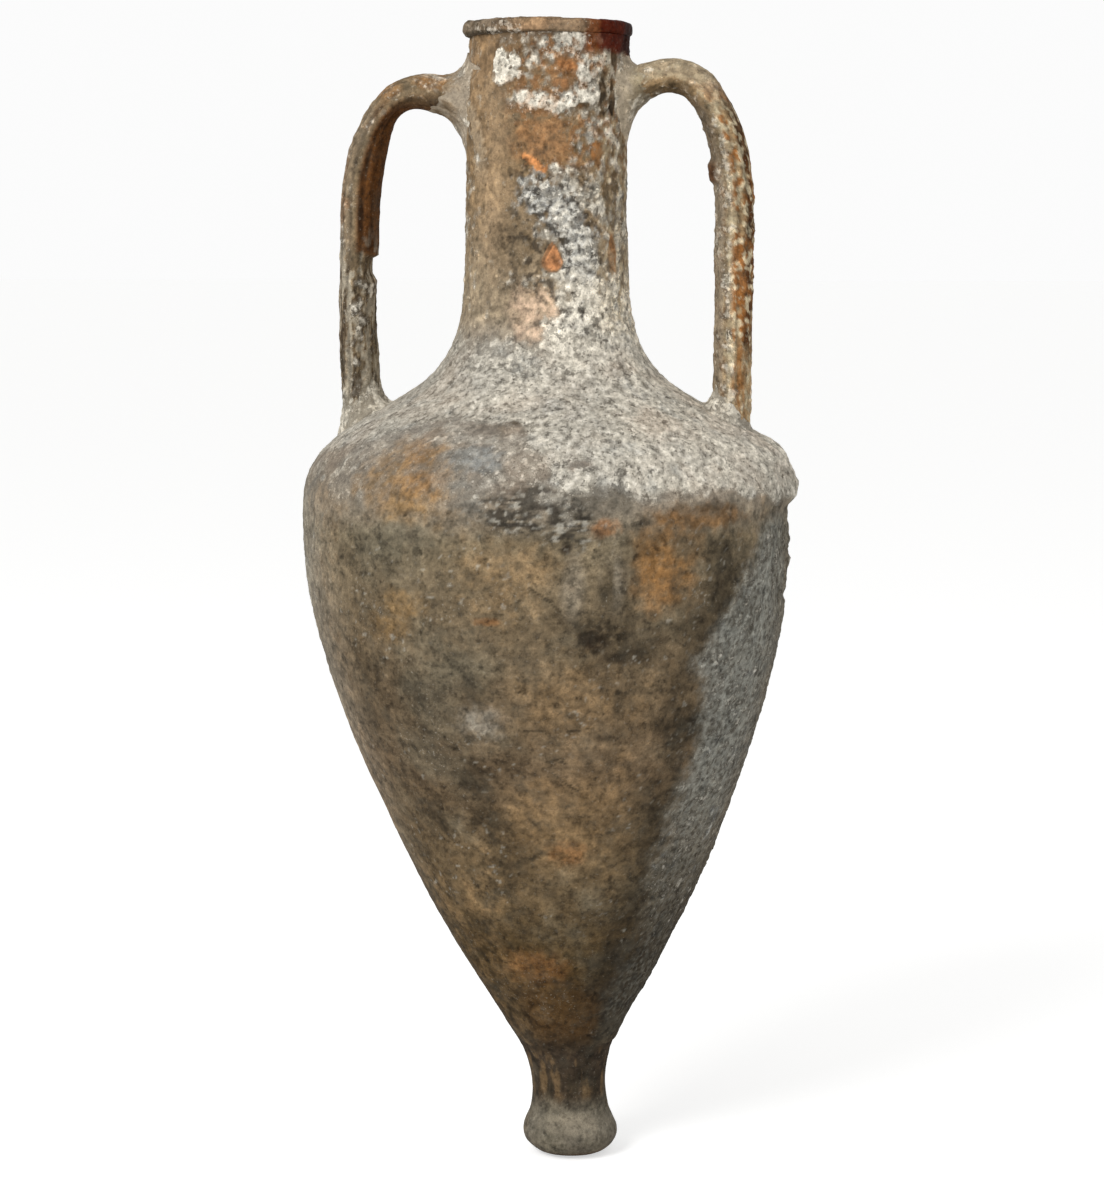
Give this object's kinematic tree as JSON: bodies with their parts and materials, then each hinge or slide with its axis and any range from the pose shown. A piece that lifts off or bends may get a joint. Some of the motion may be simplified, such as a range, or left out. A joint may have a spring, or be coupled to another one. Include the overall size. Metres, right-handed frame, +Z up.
{
  "type": "transport amphora",
  "caption": "Tall two-handled clay storage jar with a rolled rim, long neck, broad shoulder and a conical body ending in a small knobbed toe.",
  "frame": {"origin": "centre of the flat underside of the toe; the neck's axis stands 17.8 mm to the -X side of it, because the lower body leans", "axes": "+Z up from the toe to the mouth; +X towards the right-hand handle, whose plane is XZ"},
  "size_m": [0.3426, 0.3426, 0.8],
  "materials": {
    "rim_clay": "fired clay, partly crusted white, with a dark glossy stain on one side",
    "neck_clay": "fired clay, orange-tan under speckled white crust",
    "shoulder_clay": "fired clay under a rough pale grey crust",
    "body_clay": "fired clay, smooth, mottled brown with dark and ochre stains",
    "toe_clay": "fired clay, dark and streaked, lighter on the knob",
    "handle_clay": "fired clay, ribbed lengthways, speckled with crust",
    "luting_clay": "fired clay, smeared smooth by hand"
  },
  "bodies": {
    "root": {"rim_lip": "rim_clay", "neck": "neck_clay", "shoulder": "shoulder_clay", "upper_body": "body_clay", "lower_body": "body_clay", "toe": "toe_clay", "base_plug": "luting_clay", "neck_seam_coil": "luting_clay", "shoulder_seam_coil": "luting_clay", "belly_seam_coil": "luting_clay", "handle_left": "handle_clay", "handle_left_top_luting": "luting_clay", "handle_left_foot_luting": "luting_clay", "handle_right": "handle_clay", "handle_right_top_luting": "luting_clay", "handle_right_foot_luting": "luting_clay"}
  },
  "joints": []
}
